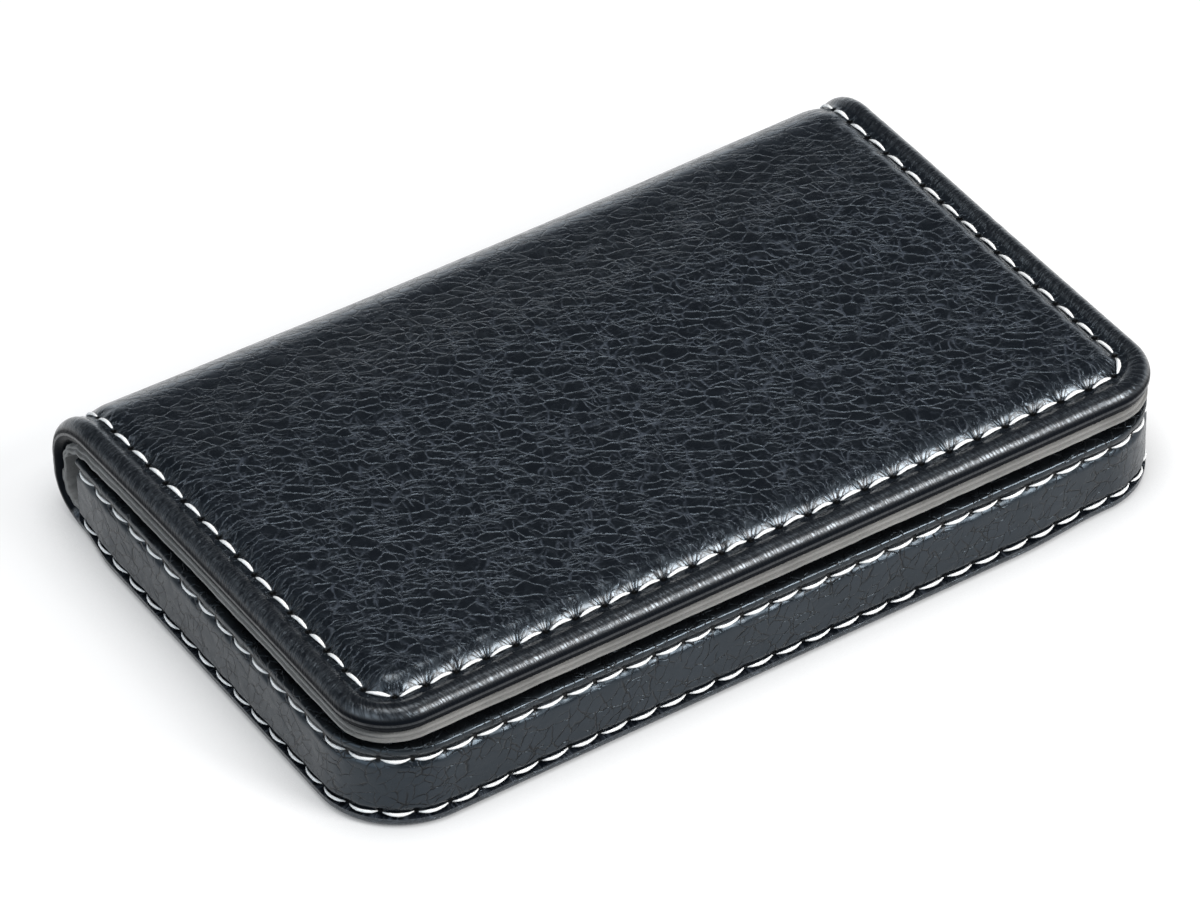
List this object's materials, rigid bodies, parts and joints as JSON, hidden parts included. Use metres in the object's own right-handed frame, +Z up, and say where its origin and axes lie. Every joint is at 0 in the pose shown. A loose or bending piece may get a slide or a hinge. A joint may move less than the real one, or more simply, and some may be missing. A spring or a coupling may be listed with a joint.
{
  "type": "card holder",
  "caption": "Flip-top leather card case: shallow open tray for business cards, soft wrap-round spine and a padded lid that lies shut on hidden magnets.",
  "frame": {"origin": "under the middle of the base, on the surface the case lies on", "axes": "+X along the long side, +Y from the opening front to the spine, +Z up through the lid"},
  "size_m": [0.1046, 0.0682, 0.0161],
  "materials": {
    "black_leather": "grained polyurethane leather, satin",
    "black_panel": "smooth matt black lining leather",
    "grey_lining": "suede lining",
    "board": "grey fibreboard, hidden",
    "foam": "thin padding, hidden",
    "frame_plastic": "moulded, hidden",
    "white_thread": "twisted sewing thread",
    "steel": "thin strike plate, hidden",
    "magnet": "nickel-plated magnet, hidden"
  },
  "bodies": {
    "tray": {"base_leather": "black_leather", "base_board": "board", "tray_frame": "frame_plastic", "tray_band": "black_leather", "tray_lining": "grey_lining", "back_wall_board": "board", "back_wall_leather": "black_leather", "tray_magnet_left": "magnet", "tray_magnet_right": "magnet", "band_top_thread": "white_thread", "band_bottom_thread": "white_thread", "hem_lining": "grey_lining"},
    "spine": {"spine_leather": "black_leather", "spine_stiffener": "board", "spine_lining": "grey_lining", "spine_thread_left": "white_thread", "spine_thread_right": "white_thread"},
    "lid": {"lid_leather": "black_leather", "lid_foam": "foam", "lid_board": "board", "lid_lining": "grey_lining", "lid_thread": "white_thread", "lid_pocket": "black_panel", "lid_plate_left": "steel", "lid_plate_right": "steel"}
  },
  "joints": [
    {"name": "spine_fold", "type": "hinge", "parent": "tray", "child": "spine", "pos_m": [0, 0.03273, 0.00107], "axis": [-1, 0, 0], "range_deg": [0, 88]},
    {"name": "lid_fold", "type": "hinge", "parent": "spine", "child": "lid", "pos_m": [0, 0.03273, 0.01413], "axis": [-1, 0, 0], "range_deg": [0, 90]}
  ]
}
